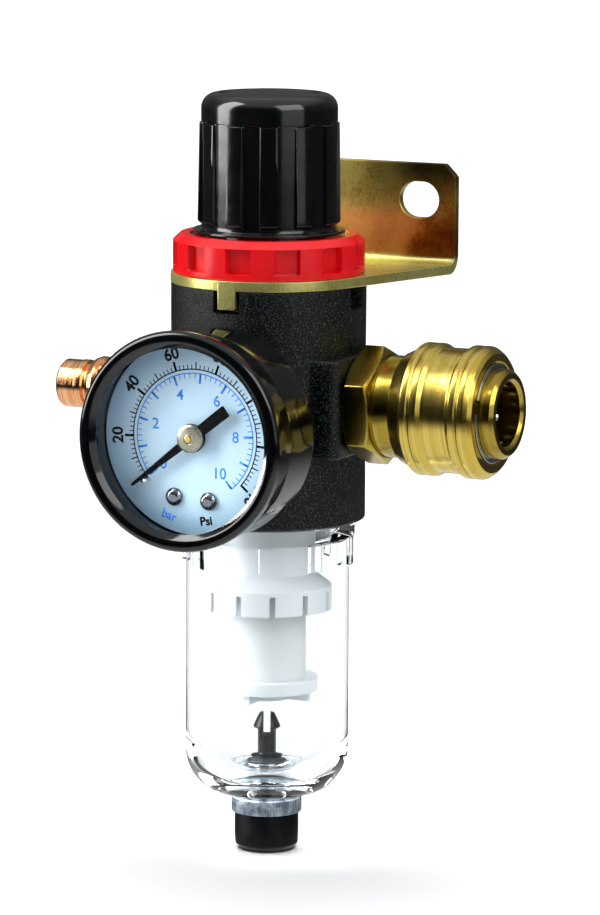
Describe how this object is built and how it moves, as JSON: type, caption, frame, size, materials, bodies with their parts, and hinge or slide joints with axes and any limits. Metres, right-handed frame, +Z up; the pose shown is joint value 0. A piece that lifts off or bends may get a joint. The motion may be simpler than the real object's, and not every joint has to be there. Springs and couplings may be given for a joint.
{
  "type": "air pressure regulator",
  "caption": "Compact compressed-air filter regulator with adjusting knob, pressure gauge, clear bowl with drain, quick coupler outlet, nipple inlet and wall bracket.",
  "frame": {"origin": "midway between the two bracket slots, on the bracket's rear face that lies against the wall", "axes": "+Z up along the body's axis towards the knob, -Y out of the wall towards the viewer and along the gauge's axis, +X towards the outlet coupler"},
  "size_m": [0.1009, 0.073, 0.1565],
  "materials": {
    "powder_coat": "textured powder coat",
    "black_nylon": "gloss moulded",
    "red_plastic": "gloss moulded",
    "yellow_zinc": "yellow chromate zinc plate",
    "clear_plastic": "clear",
    "black_enamel": "gloss enamel",
    "brass": "polished",
    "copper_brass": "polished",
    "steel": "bright",
    "spring_steel": "bright wire",
    "chrome": "polished",
    "rubber": "moulded",
    "white_plastic": "translucent moulded",
    "filter_plastic": "sintered",
    "grey_metal": "worn cast",
    "black_plastic": "moulded",
    "dial_paint": "printed satin",
    "window_plastic": "clear"
  },
  "bodies": {
    "housing": {"body": "powder_coat", "bonnet": "black_nylon", "lock_ring": "red_plastic", "bracket": "yellow_zinc", "main_spring": "spring_steel", "valve_seat": "brass", "valve_spring": "spring_steel", "valve_guide": "white_plastic", "deflector": "white_plastic", "filter_element": "filter_plastic", "baffle": "white_plastic", "bowl": "clear_plastic", "bowl_o_ring": "rubber", "drain_collar": "grey_metal", "gauge_case": "black_enamel", "gauge_bezel": "black_enamel", "gauge_window": "window_plastic", "gauge_dial": "dial_paint", "dial_screws": "chrome", "stop_pin": "chrome", "movement_plates": "brass", "bourdon_tube": "brass", "tube_link": "steel", "hair_spring": "spring_steel", "gauge_socket": "brass", "coupler_body": "brass", "coupler_nose": "brass", "sleeve_spring": "spring_steel", "retaining_ring": "steel", "locking_balls": "chrome", "coupler_valve_spring": "spring_steel", "coupler_seal": "rubber", "inlet_nipple": "copper_brass", "rear_plug": "powder_coat"},
    "adjuster": {"adjusting_screw": "steel"},
    "knob": {"knob": "black_nylon"},
    "spring_nut": {"spring_nut": "brass"},
    "piston": {"piston": "white_plastic", "piston_o_ring": "rubber"},
    "valve_poppet": {"valve_poppet": "brass"},
    "sector": {"sector_gear": "brass"},
    "pointer": {"pointer": "black_enamel", "pointer_hub": "steel", "pinion_shaft": "brass"},
    "coupler_sleeve": {"coupler_sleeve": "brass"},
    "coupler_valve": {"coupler_valve": "brass"},
    "drain": {"drain_button": "black_plastic", "drain_stem": "black_plastic", "drain_seal": "rubber"}
  },
  "joints": [
    {"name": "knob_turn", "type": "hinge", "parent": "housing", "child": "adjuster", "pos_m": [0, -0.031, 0.007], "axis": [0, 0, 1], "range_deg": [-1440, 0]},
    {"name": "knob_lift", "type": "slide", "parent": "adjuster", "child": "knob", "axis": [0, 0, 1], "range_m": [0, 0.003]},
    {"name": "nut_travel", "type": "slide", "parent": "housing", "child": "spring_nut", "axis": [0, 0, 1], "range_m": [-0.00505, 0], "deforming": ["main_spring"]},
    {"name": "piston_stroke", "type": "slide", "parent": "housing", "child": "piston", "axis": [0, 0, 1], "range_m": [-0.001, 0], "stiffness_N_per_m": 1500, "springref_m": 0.0005},
    {"name": "valve_lift", "type": "slide", "parent": "housing", "child": "valve_poppet", "axis": [0, 0, 1], "range_m": [-0.00105, 0], "deforming": ["valve_spring"]},
    {"name": "sector_swing", "type": "hinge", "parent": "housing", "child": "sector", "pos_m": [0, -0.0598, -0.0536], "axis": [0, -1, 0], "range_deg": [0, 33.5], "stiffness_Nm_per_rad": 0.0005, "springref_deg": -17.19},
    {"name": "pointer_turn", "type": "hinge", "parent": "housing", "child": "pointer", "pos_m": [0, -0.066, -0.0428], "axis": [0, 1, 0], "range_deg": [0, 268.5]},
    {"name": "sleeve_slide", "type": "slide", "parent": "housing", "child": "coupler_sleeve", "axis": [1, 0, 0], "range_m": [-0.0035, 0], "stiffness_N_per_m": 1500, "springref_m": 0.003, "deforming": ["sleeve_spring"]},
    {"name": "plug_valve", "type": "slide", "parent": "housing", "child": "coupler_valve", "axis": [1, 0, 0], "range_m": [-0.004, 0], "stiffness_N_per_m": 500, "springref_m": 0.004, "deforming": ["coupler_valve_spring"]},
    {"name": "drain_push", "type": "slide", "parent": "housing", "child": "drain", "axis": [0, 0, 1], "range_m": [0, 0.002]}
  ],
  "couplings": [
    {"joint": "nut_travel", "follows": "knob_turn", "m_per_rad": 0.00019894},
    {"joint": "valve_lift", "follows": "piston_stroke", "ratio": 1},
    {"joint": "pointer_turn", "follows": "sector_swing", "ratio": 8}
  ]
}
